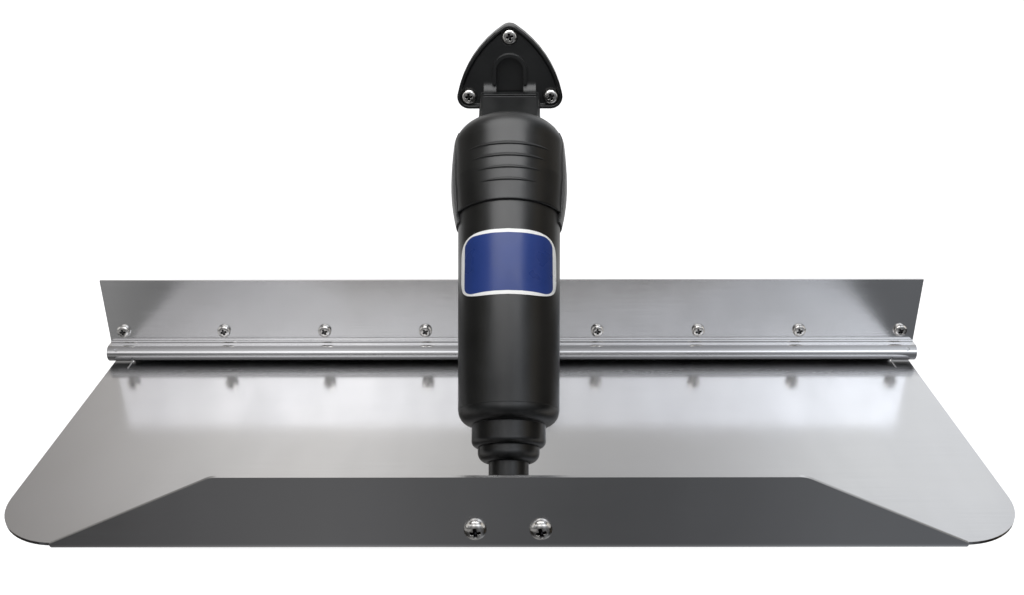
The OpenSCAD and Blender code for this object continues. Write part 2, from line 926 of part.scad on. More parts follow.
// O-ring between the head's spigot and the barrel
seal_groove_low = spigot_end + 4;
seal_groove_h = 3.2;
seal_groove_depth = 2.6;
head_seal_r = seal_groove_depth / 2 - fit_play;
module head_seal() {
    color(rubber)
        on_actuator()
            translate([0, 0, seal_groove_low + seal_groove_h / 2])
                rotate_extrude()
                    translate([bore_r - seal_groove_depth / 2, 0])
                        circle(head_seal_r);
}

// Half section of the barrel's outside: drafted wall, rounded edge and stepped neck
module barrel_section() {
    edge_z = barrel_low + barrel_round_r;
    edge_x = barrel_low_r - barrel_round_r;
    neck_round_r = 4;
    polygon([[0, edge_z], [barrel_wall_r(edge_z), edge_z], [barrel_top_r, barrel_top], [0, barrel_top]]);
    translate([edge_x, edge_z])
        circle(barrel_round_r);
    translate([0, barrel_low])
        square([edge_x, barrel_round_r]);
    translate([0, neck_end + neck_round_r])
        square([neck_r, neck_len]);
    translate([neck_r - neck_round_r, neck_end + neck_round_r])
        circle(neck_round_r);
    translate([0, neck_end])
        square([neck_r - neck_round_r, neck_round_r]);
}

// Hydraulic cylinder with a plain bore and a neck for the rod's bush and seal
module actuator_barrel() {
    color(black_plastic)
        on_actuator()
            difference() {
                rotate_extrude()
                    barrel_section();
                translate([0, 0, barrel_floor])
                    cylinder(r = bore_r, h = 2 * barrel_drop);
                translate([0, 0, 2 * neck_end])
                    cylinder(r = bush_bore_r, h = -2 * neck_end);
            }
}

// Blank label wrapped on the front of the barrel
module barrel_label() {
    skin = 0.02;
    top = -label_drop + label_h / 2;
    low = -label_drop - label_h / 2;
    half_w = barrel_wall_r(-label_drop) * sin(label_angle / 2);
    color("royalblue")
        on_actuator()
            intersection() {
                difference() {
                    translate([0, 0, low])
                        cylinder(
                            r1 = barrel_wall_r(low) + skin + label_t,
                            r2 = barrel_wall_r(top) + skin + label_t,
                            h = label_h
                        );
                    translate([0, 0, low])
                        cylinder(r1 = barrel_wall_r(low) + skin, r2 = barrel_wall_r(top) + skin, h = label_h);
                }
                towards_stern(2 * barrel_top_r)
                    polygon(rounded(
                        [[-half_w, low], [half_w, low], [half_w, top], [-half_w, top]],
                        [for (i = [0:3]) label_corner_r]
                    ));
            }
}

// Piston with grooves for its seal and its guide ring
piston_groove_h = 4;
piston_groove_depth = 4;
piston_seal_up = 11;
piston_guide_up = 4;
piston_seal_z = piston_low + piston_seal_up;
piston_guide_z = piston_low + piston_guide_up;
piston_groove_r = bore_r - piston_groove_depth;
rod_spigot_r = 7;
rod_spigot_h = 12;
module piston() {
    color(acetal)
        on_actuator()
            difference() {
                translate([0, 0, piston_low])
                    cylinder(r = bore_r - 2 * fit_play, h = piston_h);
                for (z = [piston_seal_z, piston_guide_z])
                    translate([0, 0, z])
                        ring(bore_r + over, piston_groove_r, piston_groove_h);
                translate([0, 0, piston_low - over])
                    cylinder(r = rod_spigot_r + fit_play, h = rod_spigot_h + over);
                cylinder_down(piston_top, piston_screw_d / 2 + screw_play, piston_h);
                cylinder_down(piston_top, piston_screw_head_d / 2 + screw_play, piston_screw_head_h);
            }
}

// Cylinder that hangs down from a station, with its top opened past the face
module cylinder_down(top, r, h) {
    translate([0, 0, top - h])
        cylinder(r = r, h = h + over);
}

module piston_ring(z, h) {
    translate([0, 0, z + (piston_groove_h - h) / 2])
        ring(bore_r - fit_play, piston_groove_r + fit_play, h);
}

module piston_seal() {
    color(rubber)
        on_actuator()
            piston_ring(piston_seal_z, piston_groove_h - 2 * fit_play);
}

module piston_guide_ring() {
    color(acetal)
        on_actuator()
            piston_ring(piston_guide_z, piston_groove_h - 2 * fit_play);
}

// Cap screw that holds the piston on the rod
piston_screw_d = 6;
piston_screw_head_d = 10;
piston_screw_head_h = 5;
piston_screw_len = 26;
module piston_screw() {
    socket_af = 5;
    color(stainless)
        on_actuator()
            translate([0, 0, piston_top - piston_screw_head_h])
                difference() {
                    union() {
                        cylinder(d = piston_screw_head_d, h = piston_screw_head_h - fit_play);
                        translate([0, 0, -piston_screw_len])
                            cylinder(d = piston_screw_d, h = piston_screw_len + fit_play);
                    }
                    translate([0, 0, piston_screw_head_h / 2])
                        cylinder(d = socket_af / cos(30), h = piston_screw_head_h, $fn = 6);
                }
}

// Rod with a spigot for the piston above and a flattened, slotted eye below
module actuator_rod() {
    rod_top = piston_low;
    screw_hole_depth = piston_screw_head_h + piston_screw_len - (piston_h - rod_spigot_h) + over;
    color(black_plastic)
        on_actuator()
            difference() {
                union() {
                    translate([0, 0, rod_flat_top])
                        cylinder(r = rod_r, h = rod_top - rod_flat_top);
                    cylinder_down(rod_top + rod_spigot_h - over - fit_play, rod_spigot_r, rod_spigot_h);
                    intersection() {
                        translate([0, 0, -pin_to_pin])
                            cylinder(r = rod_r, h = pin_to_pin + rod_flat_top);
                        translate([-eye_w / 2, -rod_r, -pin_to_pin])
                            cube([eye_w, 2 * rod_r, pin_to_pin]);
                    }
                    translate([0, 0, -pin_to_pin])
                        rotate([0, 90, 0])
                            cylinder(r = eye_r, h = eye_w, center = true);
                }
                cylinder_down(rod_top + rod_spigot_h, piston_screw_d / 2 + fit_play, screw_hole_depth);
                for (z = [0, -eye_travel])
                    translate([0, 0, z - pin_to_pin])
                        rotate([0, 90, 0])
                            cylinder(r = lower_pin_d / 2 + eye_slack, h = 2 * eye_w, center = true);
            }
}

// Compression spring that draws the rod in, swept along a helix with closed ends
module return_spring() {
    low = barrel_floor + seat_t + spring_wire_d / 2 + fit_play;
    high = piston_low - spring_wire_d / 2 - fit_play;
    rings_per_turn = 14;
    sides = 8;
    rings = spring_turns * rings_per_turn;
    wire_r = spring_wire_d / 2;
    points = [
        for (i = [0:rings])
            for (k = [0:sides - 1])
                let (
                    turn = 360 * i / rings_per_turn,
                    r = spring_r + wire_r * cos(360 * k / sides),
                    z = low + (high - low) * i / rings + wire_r * sin(360 * k / sides)
                )
                [r * cos(turn), r * sin(turn), z]
    ];
    walls = [
        for (i = [0:rings - 1])
            for (k = [0:sides - 1])
                let (
                    a = i * sides + k,
                    b = i * sides + (k + 1) % sides
                )
                [a, a + sides, b + sides, b]
    ];
    first = [for (k = [0:sides - 1]) k];
    last = [for (k = [sides - 1:-1:0]) rings * sides + k];
    color(stainless)
        on_actuator()
            polyhedron(points, concat([first, last], walls));
}

// Washer under the spring
module spring_seat() {
    seat_play = 1;
    color(stainless)
        on_actuator()
            translate([0, 0, barrel_floor])
                ring(bore_r - seat_play, bush_bore_r, seat_t);
}

// Guide bush in the neck
module rod_bush() {
    color(acetal)
        on_actuator()
            translate([0, 0, bush_low])
                ring(bush_bore_r - fit_play, rod_r + fit_play, barrel_floor - bush_low);
}

module rod_seal() {
    color(rubber)
        on_actuator()
            translate([0, 0, seal_low])
                ring(bush_bore_r - fit_play, rod_r + fit_play, seal_h);
}

// Rounded cap that closes the neck and holds the seal
wiper_h = 3;
wiper_w = 2.5;
wiper_up = 2;
wiper_low = gland_end + wiper_up;
module gland_cap() {
    round_r = 6;
    color(black_plastic)
        on_actuator()
            difference() {
                union() {
                    rotate_extrude()
                        difference() {
                            translate([0, gland_end])
                                square([gland_r, gland_len]);
                            translate([gland_r - round_r, gland_end])
                                difference() {
                                    square(round_r);
                                    translate([0, round_r])
                                        circle(round_r);
                                }
                        }
                    cylinder_down(seal_low - over, bush_bore_r - fit_play, seal_low - neck_end);
                }
                translate([0, 0, 2 * gland_end])
                    cylinder(r = rod_r + 2 * fit_play, h = -2 * gland_end);
                translate([0, 0, wiper_low])
                    cylinder(r = rod_r + wiper_w, h = wiper_h);
            }
}

// Scraper ring inside the gland cap's lip
module rod_wiper() {
    color(rubber)
        on_actuator()
            translate([0, 0, wiper_low + fit_play])
                ring(rod_r + wiper_w - fit_play, rod_r + fit_play, wiper_h - 2 * fit_play);
}

// Side view of a bracket ear, from the foot to the round end, in Y and Z
bracket_low = plane_top + flange_fold_r + 1;
module bracket_ear_section() {
    ear_inset = 0.5;
    foot_y = flange_in_y + bracket_foot_t - over;
    foot_low = [foot_y, bracket_low + ear_inset];
    foot_high = [foot_y, bracket_low + bracket_h - ear_inset];
    pin = [lower_pin_y, lower_pin_z];
    low_a = tangent_angle(foot_low, pin, bracket_ear_r, 1);
    high_a = tangent_angle(foot_high, pin, bracket_ear_r, -1);
    polygon(concat([foot_low], arc(pin, bracket_ear_r, low_a, high_a, 20), [foot_high]));
}

// Moulded bracket on the flange's inner face with two ears for the lower pin
module lower_hinge_bracket() {
    low_r = 3;
    high_r = 6;
    half = bracket_w / 2;
    high = bracket_low + bracket_h;
    color(black_plastic)
        on_plane()
            difference() {
                union() {
                    translate([0, flange_in_y + bracket_foot_t, 0])
                        towards_stern(bracket_foot_t)
                            polygon(rounded(
                                [[-half, bracket_low], [half, bracket_low], [half, high], [-half, high]],
                                [low_r, low_r, high_r, high_r], 6
                            ));
                    both_sides()
                        translate([ear_in + bracket_ear_t / 2, 0, 0])
                            along_x(bracket_ear_t)
                                bracket_ear_section();
                }
                at_flange_screws()
                    translate([0, flange_in_y, 0])
                        facing_aft()
                            cylinder(
                                d = flange_screw_d + 2 * screw_play,
                                h = 4 * bracket_foot_t,
                                center = true
                            );
                translate([0, lower_pin_y, lower_pin_z])
                    rotate([0, 90, 0])
                        cylinder(d = lower_pin_d + 2 * fit_play, h = 4 * ear_out, center = true);
            }
}

// Pin through the bracket and the rod's eye, grooved for a clip at each end
clip_t = 1;
clip_groove_depth = 0.6;
clip_at = ear_out + ear_gap;
pin_end_len = 2;
module lower_hinge_pin() {
    color(stainless)
        on_plane()
            translate([0, lower_pin_y, lower_pin_z])
                rotate([0, 90, 0])
                    difference() {
                        cylinder(d = lower_pin_d, h = 2 * (clip_at + clip_t + pin_end_len), center = true);
                        for (side = [-1, 1])
                            translate([0, 0, side * (clip_at + clip_t / 2) - clip_t / 2])
                                ring(lower_pin_d, lower_pin_d / 2 - clip_groove_depth, clip_t);
                    }
}

// Open retaining clips in the pin's grooves
module pin_clips() {
    clip_in_r = lower_pin_d / 2 - clip_groove_depth + fit_play;
    clip_w = 2.6;
    clip_mouth = clip_in_r * 1.6;
    color(stainless)
        on_plane()
            both_sides()
                translate([clip_at + fit_play, lower_pin_y, lower_pin_z])
                    rotate([0, 90, 0])
                        difference() {
                            ring(clip_in_r + clip_w, clip_in_r, clip_t - 2 * fit_play);
                            translate([0, -clip_mouth / 2, -over])
                                cube([2 * lower_pin_d, clip_mouth, 4 * over]);
                        }
}

module flange_screws() {
    grip = sheet + bracket_foot_t + flange_nut_h;
    thread_past_nut = 1.5;
    color(stainless)
        on_plane()
            at_flange_screws()
                translate([0, trail_y, 0])
                    facing_aft()
                        pan_screw(flange_screw_d, grip + thread_past_nut, flange_head_d, sheet, 0);
}

// Lock nuts against the bracket's foot
module flange_nuts() {
    color(stainless)
        on_plane()
            at_flange_screws()
                translate([0, flange_in_y + bracket_foot_t + flange_nut_h, 0])
                    facing_aft()
                        difference() {
                            rotate([0, 0, 30])
                                cylinder(d = flange_nut_af / cos(30), h = flange_nut_h, $fn = 6);
                            translate([0, 0, -over])
                                cylinder(r = flange_screw_d / 2 + fit_play, h = flange_nut_h + 2 * over);
                        }
}

backing_plate();
hinge_rod();
plate_screws();
trim_plane();
upper_hinge_base();
upper_hinge_screws();
upper_hinge_pin();
actuator_head();
hose_fitting();
hose_nut();
head_seal();
actuator_barrel();
barrel_label();
piston();
piston_seal();
piston_guide_ring();
piston_screw();
actuator_rod();
return_spring();
spring_seat();
rod_bush();
rod_seal();
gland_cap();
rod_wiper();
lower_hinge_bracket();
lower_hinge_pin();
pin_clips();
flange_screws();
flange_nuts();
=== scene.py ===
# %% [markdown]
# A boat trim tab: a stainless plane hinged under a transom plate and pushed down by a black hydraulic
# actuator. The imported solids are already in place, in metres, so this lesson only dresses them. It gives
# each solid a finish worked out from its own coordinates, and it remakes the small pieces that plain solids
# can't show well: threaded screws, lock nuts, the return spring and the blank label.

# %% Load the solids
import json
import math

import bpy
import numpy as np
from mathutils import Matrix

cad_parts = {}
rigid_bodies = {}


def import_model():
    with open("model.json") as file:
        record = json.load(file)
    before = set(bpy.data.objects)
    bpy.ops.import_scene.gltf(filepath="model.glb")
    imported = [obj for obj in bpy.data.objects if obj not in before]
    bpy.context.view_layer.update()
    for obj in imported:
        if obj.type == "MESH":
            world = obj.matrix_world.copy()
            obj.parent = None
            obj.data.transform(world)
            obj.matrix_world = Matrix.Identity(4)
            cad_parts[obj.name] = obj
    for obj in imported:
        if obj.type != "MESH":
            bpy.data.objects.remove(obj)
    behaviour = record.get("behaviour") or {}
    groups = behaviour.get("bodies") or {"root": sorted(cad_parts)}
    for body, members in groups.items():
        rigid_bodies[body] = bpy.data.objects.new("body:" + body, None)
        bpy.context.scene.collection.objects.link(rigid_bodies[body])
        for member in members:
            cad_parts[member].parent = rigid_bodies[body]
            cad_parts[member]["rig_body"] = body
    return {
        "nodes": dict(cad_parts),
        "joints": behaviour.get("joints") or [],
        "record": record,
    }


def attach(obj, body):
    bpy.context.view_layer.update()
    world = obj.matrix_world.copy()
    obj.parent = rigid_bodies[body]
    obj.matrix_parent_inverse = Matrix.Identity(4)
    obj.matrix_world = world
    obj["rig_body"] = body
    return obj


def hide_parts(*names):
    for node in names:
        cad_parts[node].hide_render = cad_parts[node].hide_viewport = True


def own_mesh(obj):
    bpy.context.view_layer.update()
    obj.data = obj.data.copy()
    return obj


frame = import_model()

scene = bpy.context.scene
nodes = frame["nodes"]
MM = 0.001
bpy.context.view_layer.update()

# %% [markdown]
# The picture looks slightly down on the tab from behind the boat. A camera can be placed by eye, but here
# its place, turn and focal length come from matching screw rows, corners and edges of the part to the
# picture. The picture was cropped, so the lens looks at a point a little off its middle, which the shift
# makes up for.

# %% Camera
IMAGE_W = 1024
SENSOR_W = 36.0
FOCAL_PX = 1000.7
CAMERA_AT = (0.0073, -0.6883, 0.3203)
TURN, DOWN, ROLL = np.radians((-0.20, 25.32, -0.17))
MIDDLE_OFF_PX = (5.9, 38.1)


def camera_axes(turn, down, roll):
    """Rows right, up and back of a camera that turns about the vertical, then looks down, then rolls."""
    spin = [[math.cos(turn), -math.sin(turn), 0], [math.sin(turn), math.cos(turn), 0], [0, 0, 1]]
    tilt = [[1, 0, 0], [0, math.sin(down), math.cos(down)], [0, -math.cos(down), math.sin(down)]]
    lean = [[math.cos(roll), math.sin(roll), 0], [-math.sin(roll), math.cos(roll), 0], [0, 0, 1]]
    return np.array(lean) @ np.array(tilt) @ np.array(spin)


camera_data = bpy.data.cameras.new("camera")
camera_data.sensor_width = SENSOR_W
camera_data.lens = FOCAL_PX * SENSOR_W / IMAGE_W
camera_data.shift_x = -MIDDLE_OFF_PX[0] / IMAGE_W
camera_data.shift_y = MIDDLE_OFF_PX[1] / IMAGE_W
camera = bpy.data.objects.new("camera", camera_data)
scene.collection.objects.link(camera)
facing = Matrix(camera_axes(TURN, DOWN, ROLL).T.tolist()).to_4x4()
camera.matrix_world = Matrix.Translation(CAMERA_AT) @ facing
scene.camera = camera
scene.view_settings.view_transform = "Standard"
print("lens in mm:", round(camera_data.lens, 2))

# %% [markdown]
# Every finish and the studio itself are node trees. One helper adds a node and fills its sockets, either
# with a value or with another node's output, so that each finish below reads as a short recipe.

# %% Helpers for node trees
def fill(tree, node, sockets):
    """Sets a node's sockets, by name or number, to values, or links them to other nodes' outputs."""
    for key, value in sockets.items():
        if isinstance(value, bpy.types.NodeSocket):
            tree.links.new(value, node.inputs[key])
        else:
            node.inputs[key].default_value = value


def add(tree, kind, sockets=None, **settings):
    """Adds a node with its settings and fills its sockets."""
    made = tree.nodes.new(kind)
    for key, value in settings.items():
        setattr(made, key, value)
    fill(tree, made, sockets or {})
    return made


def ramp(tree, value, stops):
    """Colour ramp through (place, colour) stops."""
    made = add(tree, "ShaderNodeValToRGB", {"Fac": value})
    elements = made.color_ramp.elements
    for extra in stops[2:]:
        elements.new(extra[0])
    for element, (place, colour) in zip(elements, stops):
        element.position = place
        element.color = (*colour, 1.0)
    return made.outputs["Color"]


def spread(tree, value, low, high, start=0.3, stop=0.7):
    """Stretches a value's range from start..stop to low..high, and holds it at the ends."""
    sockets = {"Value": value, "From Min": start, "From Max": stop, "To Min": low, "To Max": high}
    return add(tree, "ShaderNodeMapRange", sockets).outputs["Result"]


def math_node(tree, operation, first, second=0.0):
    """One sum, product or other operation on two values."""
    return add(tree, "ShaderNodeMath", {0: first, 1: second}, operation=operation).outputs["Value"]


def product(tree, first, *others):
    """Product of two or more values."""
    for other in others:
        first = math_node(tree, "MULTIPLY", first, other)
    return first


def band(tree, value, foot, top):
    """Rises from 0 to 1 over the foot's range and falls back to 0 over the top's."""
    rising = spread(tree, value, 0.0, 1.0, *foot)
    return product(tree, rising, spread(tree, value, 1.0, 0.0, *top))


def opaque(colour):
    """A written colour with its alpha; another node's output stays as it is."""
    return colour if isinstance(colour, bpy.types.NodeSocket) else (*colour, 1.0)


def blend(tree, factor, first, second, how="MIX"):
    """Goes from the first colour to its mix, or other join, with the second as the factor goes to 1."""
    sockets = {"Fac": factor, "Color1": opaque(first), "Color2": opaque(second)}
    return add(tree, "ShaderNodeMixRGB", sockets, blend_type=how).outputs["Color"]


def blotches(tree, scale, stretch=(1.0, 1.0, 1.0), detail=3.0):
    """Noise on the piece's own coordinates, about `scale` blotches to the metre on an unstretched axis."""
    place = add(tree, "ShaderNodeTexCoord").outputs["Object"]
    mapped = add(tree, "ShaderNodeMapping", {"Vector": place, "Scale": stretch}).outputs["Vector"]
    noise = add(tree, "ShaderNodeTexNoise", {"Vector": mapped, "Scale": scale, "Detail": detail})
    return noise.outputs["Fac"]


def relief(tree, height, depth, under=None):
    """Normal of a height field `depth` metres from low to high, on a plain surface or one bent already."""
    sockets = {"Height": height, "Distance": depth, "Strength": 1.0}
    if under:
        sockets["Normal"] = under
    return add(tree, "ShaderNodeBump", sockets).outputs["Normal"]


print("helpers ready")

# %% [markdown]
# Polished metal is mostly a picture of the room, so the room matters more than the lamps. The studio is
# written as a function of direction: a white backdrop ahead of the plate, a light band over the stern and a
# dark room below that band, as ramps over the direction's height and width, with paler ground ahead and to
# port. The camera sees plain white all round, and metal sees the same white where it mirrors the low
# backdrop. The floor is pale, lies below the tab's lowest reach and keeps a soft shadow.
#
# Three kinds of lamp help: a ceiling lamp for everything, a small soft box that draws the highlight on the
# black moulding, and a panel on each side that keeps the metal bright when it is seen from the side.

# %% Studio
FLOOR_Z = -0.135
FLOOR_HALF = 30.0
FLOOR_PAINT = (0.86, 0.86, 0.86)
FLOOR_GLOW = 0.8
WHITE = (1.0, 1.0, 1.0)
STERN_TINT = (0.98, 1.0, 1.04)
STERN_LIGHT = [
    (0.0, 0.32), (0.10, 0.18), (0.22, 0.155), (0.46, 0.18), (0.60, 0.52), (0.66, 0.84), (0.695, 1.00),
    (0.708, 1.70), (0.722, 2.25), (0.745, 2.45), (0.785, 2.50), (0.805, 1.35), (0.83, 0.90), (0.90, 0.90),
    (1.0, 0.55),
]
BACKDROP_LIGHT = [
    (0.0, 0.45), (0.20, 0.55), (0.40, 0.50), (0.46, 0.60), (0.52, 0.90), (0.62, 1.0), (0.80, 1.0),
    (0.82, 0.75), (0.85, 0.55), (1.0, 0.50),
]
SIDE_LIGHT = [
    (0.0, (0.06, 0.055, 0.05)), (0.10, (0.13, 0.118, 0.10)), (0.22, (0.13, 0.125, 0.12)),
    (0.30, (0.46, 0.445, 0.435)), (0.33, (0.60, 0.585, 0.575)), (0.375, (0.82, 0.805, 0.79)),
    (0.42, (0.88, 0.865, 0.85)), (0.457, (0.71, 0.70, 0.69)), (0.525, (0.53, 0.53, 0.53)),
    (0.5625, (0.54, 0.54, 0.545)), (0.61, (0.66, 0.665, 0.68)), (0.65, (0.90, 0.92, 0.94)),
    (0.71, (0.92, 0.94, 0.97)), (0.79, (0.34, 0.35, 0.37)), (0.85, (0.13, 0.128, 0.12)),
    (0.92, (0.20, 0.165, 0.12)), (1.0, (0.06, 0.055, 0.05)),
]
AHEAD = (-0.1, 0.45)
CORNER_LIGHT, CORNER_WIDTH, CORNER_STERN = 0.6, (0.48, 0.62), (-0.55, -0.40)
BOW_GROUND, BOW_ZONE, BOW_TOP = 0.8, (0.45, 0.70), (-0.12, -0.04)
PORT_GROUND, PORT_ZONE, PORT_FOOT, PORT_TOP = 0.34, (-0.38, -0.30), (-0.51, -0.44), (-0.20, -0.10)
WHITE_FOOT, WHITE_TOP = (-0.05, 0.05), (0.30, 0.42)
CEILING_LAMP = {
    "watts": 2.5, "size": (1.1, 1.1), "at": (-0.12, -0.35, 1.35), "turn": (0, 0, 0), "mirrored": False,
}
SOFT_BOX = {
    "watts": 1.7, "size": (0.44, 0.46), "at": (-0.04, -0.142, 0.476), "turn": (20.5, 0, 0),
    "mirrored": True,
}
PORT_PANEL = {
    "watts": 2.2, "size": (0.8, 1.4), "at": (-1.15, -0.12, 0.35), "turn": (0, -90, 0), "mirrored": True,
}
STARBOARD_PANEL = {**PORT_PANEL, "at": (1.15, -0.12, 0.35), "turn": (0, 90, 0)}


def greys(stops, tint=WHITE):
    """Stops of a ramp from (place, brightness) pairs, all in one tint."""
    return [(place, tuple(level * c for c in tint)) for place, level in stops]


def make_world():
    """Light by direction: ramps over height, astern and ahead, times one over width, and pale ground."""
    world = bpy.data.worlds.new("studio")
    world.use_nodes = True
    tree = world.node_tree
    tree.nodes.clear()
    direction = add(tree, "ShaderNodeTexCoord").outputs["Generated"]
    across, along, up = add(tree, "ShaderNodeSeparateXYZ", {"Vector": direction}).outputs
    height = spread(tree, up, 0.0, 1.0, -1.0, 1.0)
    width = spread(tree, across, 0.0, 1.0, -1.0, 1.0)
    ahead = spread(tree, along, 0.0, 1.0, *AHEAD)
    stern = ramp(tree, height, greys(STERN_LIGHT, STERN_TINT))
    backdrop = ramp(tree, height, greys(BACKDROP_LIGHT))
    wide = spread(tree, math_node(tree, "ABSOLUTE", across), 0.0, 1.0, *CORNER_WIDTH)
    corners = product(tree, wide, spread(tree, along, CORNER_LIGHT, 0.0, *CORNER_STERN))
    sides = blend(tree, 1.0, ramp(tree, width, SIDE_LIGHT), corners, "LIGHTEN")
    room = blend(tree, 1.0, blend(tree, ahead, stern, backdrop), sides, "MULTIPLY")
    bow = spread(tree, along, 0.0, BOW_GROUND, *BOW_ZONE)
    bow = product(tree, bow, spread(tree, up, 1.0, 0.0, *BOW_TOP))
    port = spread(tree, across, PORT_GROUND, 0.0, *PORT_ZONE)
    port = product(tree, port, band(tree, up, PORT_FOOT, PORT_TOP))
    light = blend(tree, 1.0, room, math_node(tree, "MAXIMUM", bow, port), "LIGHTEN")
    path = add(tree, "ShaderNodeLightPath").outputs
    mirrored = math_node(tree, "ADD", path["Is Glossy Ray"], path["Is Transmission Ray"])
    low_backdrop = product(tree, ahead, band(tree, up, WHITE_FOOT, WHITE_TOP), sides)
    white = math_node(tree, "MAXIMUM", path["Is Camera Ray"], product(tree, mirrored, low_backdrop))
    lit = add(tree, "ShaderNodeBackground", {"Color": light, "Strength": 1.0})
    plain = add(tree, "ShaderNodeBackground", {"Color": opaque(WHITE), "Strength": 1.0})
    both = add(tree, "ShaderNodeMixShader", {0: white, 1: lit.outputs[0], 2: plain.outputs[0]})
    add(tree, "ShaderNodeOutputWorld", {"Surface": both.outputs[0]})
    return world


def make_floor():
    """Wide pale plane; for the camera a little glow lifts it to white where no shadow falls."""
    corners = np.array([[-1, -1, 0], [1, -1, 0], [1, 1, 0], [-1, 1, 0]]) * FLOOR_HALF + [0, 0, FLOOR_Z]
    mesh = bpy.data.meshes.new("floor")
    mesh.from_pydata(corners.tolist(), [], [[0, 1, 2, 3]])
    material = bpy.data.materials.new("pale floor")
    material.use_nodes = True
    tree = material.node_tree
    tree.nodes.clear()
    paint = add(tree, "ShaderNodeBsdfDiffuse", {"Color": opaque(FLOOR_PAINT)})
    is_camera = add(tree, "ShaderNodeLightPath").outputs["Is Camera Ray"]
    lift = product(tree, is_camera, FLOOR_GLOW)
    glow = add(tree, "ShaderNodeEmission", {"Color": opaque(WHITE), "Strength": lift})
    both = add(tree, "ShaderNodeAddShader", {0: paint.outputs[0], 1: glow.outputs[0]})
    add(tree, "ShaderNodeOutputMaterial", {"Surface": both.outputs[0]})
    mesh.materials.append(material)
    floor = bpy.data.objects.new("floor", mesh)
    scene.collection.objects.link(floor)
    floor.visible_glossy = False


def make_lamp(name, watts, size, at, turn, mirrored):
    """Flat lamp that shines down until it is turned, in degrees about each axis; it may be mirrored."""
    data = bpy.data.lights.new(name, "AREA")
    data.shape = "RECTANGLE"
    data.energy = watts
    data.size, data.size_y = size
    lamp = bpy.data.objects.new(name, data)
    lamp.location = at
    lamp.rotation_euler = [math.radians(degrees) for degrees in turn]
    lamp.visible_camera = False
    lamp.visible_glossy = mirrored
    scene.collection.objects.link(lamp)
    return lamp


scene.world = make_world()
make_floor()
make_lamp("ceiling lamp", **CEILING_LAMP)
soft_box = make_lamp("soft box", **SOFT_BOX)
panels = [make_lamp("port panel", **PORT_PANEL), make_lamp("starboard panel", **STARBOARD_PANEL)]
print("studio: floor at", FLOOR_Z, "m, a ceiling lamp, a soft box and", len(panels), "side panels")

# %% [markdown]
# The plate and the plane are mill-finish stainless sheet. Its gloss is uneven: long faint lines from
# rolling, cloudy patches from handling, and a few wipe marks. A flat grey would look like plastic, so
# gloss, tint and relief each get their own noise, stretched along the span where rolling made it. Under the
# hinge barrel the sheet's colour is darkened as painted shade, and the sheet is duller there. The screws
# carry a second thing: how far into the cross recess each point lies, which the finish turns into painted
# shade inside the recess.

# %% Stainless finishes
SHEET_TINTS = ((0.68, 0.675, 0.67), (0.75, 0.75, 0.76))
SHEET_GLOSS = (0.12, 0.21)
# Painted shade on the sheet under the hinge barrel: its dark base colour, its share, its reach, and how
# much duller the sheet is there.
HINGE_SHADE = (0.16, 0.16, 0.165)
HINGE_SHADE_SHARE = 0.72
HINGE_SHADE_REACH = (-0.034, -0.017)
HINGE_SHADE_TOP = (-0.0205, -0.0190)
HINGE_SHADE_DULLS = 0.22
# Painted shade in the screws' cross recesses: a near-black base colour.
RECESS_SHADE_COLOUR = (0.02, 0.02, 0.022)


def start_material(name):
    """New material; returns it with its tree and its main shader."""
    material = bpy.data.materials.new(name)
    material.use_nodes = True
    return material, material.node_tree, material.node_tree.nodes["Principled BSDF"]


def stainless_sheet():
    """Sheet steel: rolling lines along the span, cloudy gloss, wipe marks and painted shade beside the
    hinge.
    """
    material, tree, shader = start_material("stainless sheet")
    lines = blotches(tree, 16.0, (1.0, 60.0, 60.0), 4.0)
    clouds = blotches(tree, 14.0, detail=4.0)
    wipes = blotches(tree, 30.0, (1.6, 0.35, 0.35))
    marks = math_node(tree, "ADD", spread(tree, clouds, 0.0, 0.5), spread(tree, wipes, 0.0, 0.5))
    place = add(tree, "ShaderNodeTexCoord").outputs["Object"]
    along, up = add(tree, "ShaderNodeSeparateXYZ", {"Vector": place}).outputs[1:]
    # Painted shade: the base colour darkens towards the hinge barrel, where the gap beneath it lies in
    # shadow.
    near_hinge = spread(tree, along, 0.0, HINGE_SHADE_SHARE, *HINGE_SHADE_REACH)
    hinge_shade = product(tree, near_hinge, spread(tree, up, 1.0, 0.0, *HINGE_SHADE_TOP))
    gloss = spread(tree, marks, *SHEET_GLOSS, 0.0, 1.0)
    gloss = math_node(tree, "ADD", gloss, spread(tree, lines, -0.02, 0.02))
    gloss = math_node(tree, "ADD", gloss, product(tree, hinge_shade, HINGE_SHADE_DULLS))
    fill(tree, shader, {
        "Base Color": blend(tree, hinge_shade, blend(tree, clouds, *SHEET_TINTS), HINGE_SHADE),
        "Metallic": 1.0,
        "Roughness": gloss,
        "Normal": relief(tree, lines, 0.012 * MM),
    })
    return material


def drawn_steel(name, tone, gloss):
    """Drawn rod, wire or cold-headed screw steel: fine lines, small stains, and painted shade in recesses.
    """
    material, tree, shader = start_material(name)
    lines = blotches(tree, 900.0, (0.2, 1.0, 1.0))
    darker = tuple(0.8 * c for c in tone)
    clean = blend(tree, blotches(tree, 160.0), darker, tone)
    # Painted shade: the recess attribute darkens the base colour inside the cross recess.
    recess_shade = add(tree, "ShaderNodeAttribute", attribute_name="recess").outputs["Fac"]
    fill(tree, shader, {
        "Base Color": blend(tree, recess_shade, clean, RECESS_SHADE_COLOUR),
        "Metallic": 1.0,
        "Roughness": spread(tree, lines, 0.7 * gloss, 1.3 * gloss),
        "Normal": relief(tree, lines, 0.006 * MM),
    })
    return material


